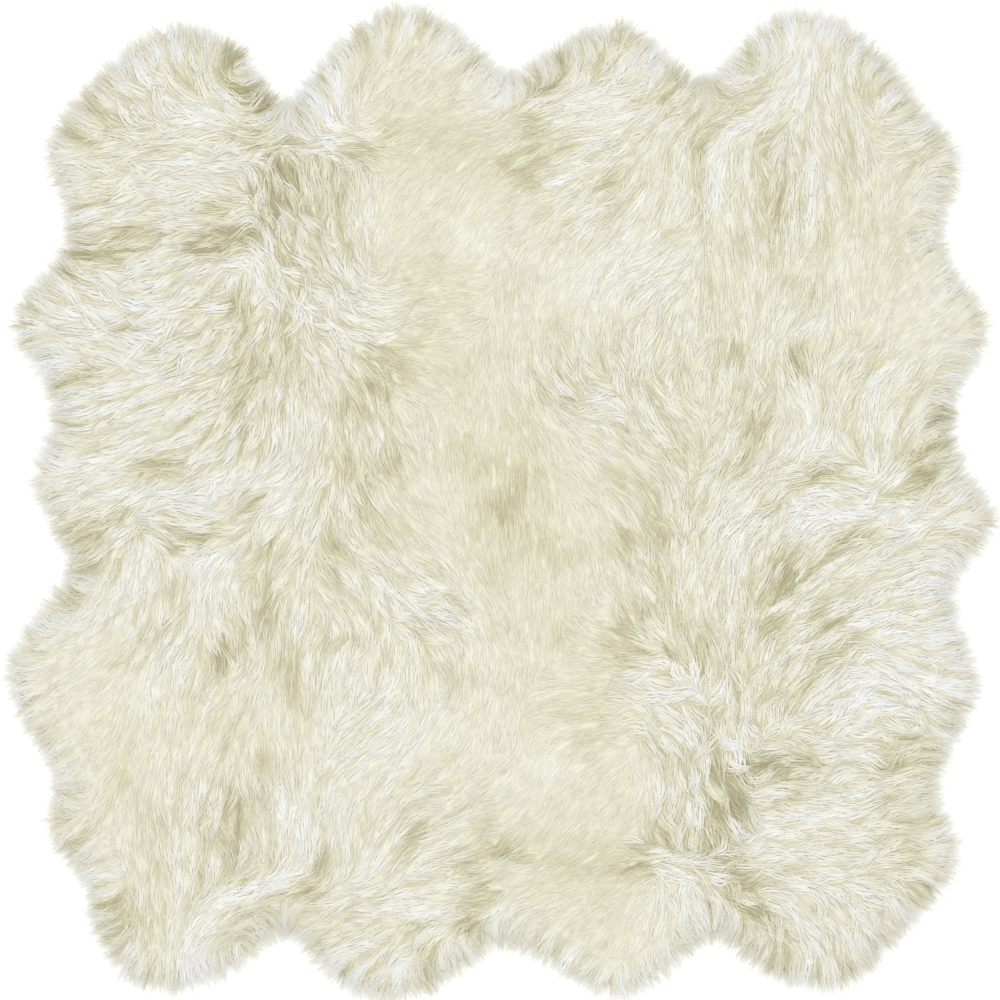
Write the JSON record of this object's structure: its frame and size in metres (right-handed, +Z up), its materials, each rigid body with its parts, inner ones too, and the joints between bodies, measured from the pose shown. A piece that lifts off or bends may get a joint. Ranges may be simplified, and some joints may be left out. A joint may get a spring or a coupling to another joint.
{
  "type": "sheepskin rug",
  "caption": "Flat longwool sheepskin rug sewn from pelts in two rows, with a lobed outline and locks of wool round its rim.",
  "frame": {"origin": "middle of the rug's box, on the floor", "axes": "+Z up out of the wool, +Y to the far row of pelts, +X to the right of the rug seen from above"},
  "size_m": [1.9028, 1.9112, 0.0541],
  "materials": {
    "wool": "long ivory sheep's wool, brushed, in soft wavy locks",
    "hide": "pale suede flesh side of the tanned skins",
    "thread": "cream furrier's zigzag sewing thread"
  },
  "bodies": {
    "root": {"pelt_far_1": "wool", "pelt_far_2": "wool", "pelt_far_3": "wool", "pelt_far_4": "wool", "pelt_near_1": "wool", "pelt_near_2": "wool", "pelt_near_3": "wool", "pelt_near_4": "wool"}
  },
  "joints": []
}
